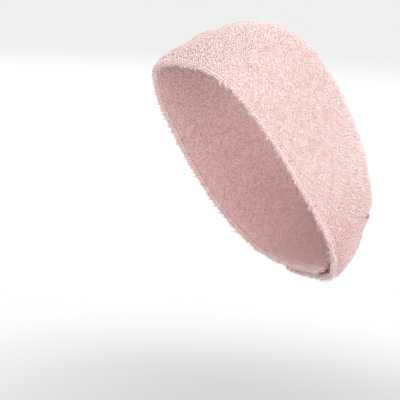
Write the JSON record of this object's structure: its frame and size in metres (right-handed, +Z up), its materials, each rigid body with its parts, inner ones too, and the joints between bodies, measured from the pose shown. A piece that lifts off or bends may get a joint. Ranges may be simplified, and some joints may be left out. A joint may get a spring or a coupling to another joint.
{
  "type": "spa headband",
  "caption": "Wide terry-cloth spa headband that loops over the crown and under the nape, with overlocked edges and a hook-and-loop lap closure at the back.",
  "frame": {"origin": "middle of the wearer's head, where the head mount is", "axes": "-Y to the face, +X to the wearer's left, +Z up; the loop leans back from a high crown to a low nape"},
  "size_m": [0.1624, 0.1798, 0.223],
  "materials": {
    "terry_face": "dense looped pile, matte",
    "terry_lining": "short looped pile, matte",
    "overlock_thread": "spun polyester thread over tufted edge",
    "sewing_thread": "spun polyester thread, slight sheen",
    "hook_tape": "nylon hook tape",
    "loop_tape": "brushed nylon loop tape",
    "label_ribbon": "blank satin ribbon"
  },
  "bodies": {
    "crown_band": {"crown_outer_panel": "terry_face", "crown_lining": "terry_lining", "crown_front_seam": "overlock_thread", "crown_rear_seam": "overlock_thread"},
    "hook_tail": {"hook_tail_outer_panel": "terry_face", "hook_tail_lining": "terry_lining", "hook_tail_front_seam": "overlock_thread", "hook_tail_rear_seam": "overlock_thread", "care_label": "label_ribbon"},
    "hook_tab": {"hook_tab_outer_panel": "terry_face", "hook_tab_lining": "terry_lining", "hook_tab_front_seam": "overlock_thread", "hook_tab_rear_seam": "overlock_thread", "hook_tab_end_seam": "overlock_thread", "hook_patch": "hook_tape", "hook_patch_stitching": "sewing_thread"},
    "loop_tail": {"loop_tail_outer_panel": "terry_face", "loop_tail_lining": "terry_lining", "loop_tail_front_seam": "overlock_thread", "loop_tail_rear_seam": "overlock_thread", "loop_tail_end_seam": "overlock_thread", "loop_patch": "loop_tape", "loop_patch_stitching": "sewing_thread"}
  },
  "joints": [
    {"name": "hook_tail_open", "type": "hinge", "parent": "crown_band", "child": "hook_tail", "pos_m": [0.07054, 0.04981, -0.04962], "axis": [0.2671, -0.747, -0.6088], "range_deg": [0, 70]},
    {"name": "hook_tab_peel", "type": "hinge", "parent": "hook_tail", "child": "hook_tab", "pos_m": [0.02884, 0.07677, -0.09052], "axis": [0.0852, -0.6015, -0.7943], "range_deg": [0, 100]},
    {"name": "loop_tail_open", "type": "hinge", "parent": "crown_band", "child": "loop_tail", "pos_m": [-0.07054, 0.04981, -0.04962], "axis": [0.2671, 0.747, 0.6088], "range_deg": [0, 21]}
  ],
  "couplings": [
    {"joint": "loop_tail_open", "follows": "hook_tail_open", "ratio": 0.3}
  ]
}
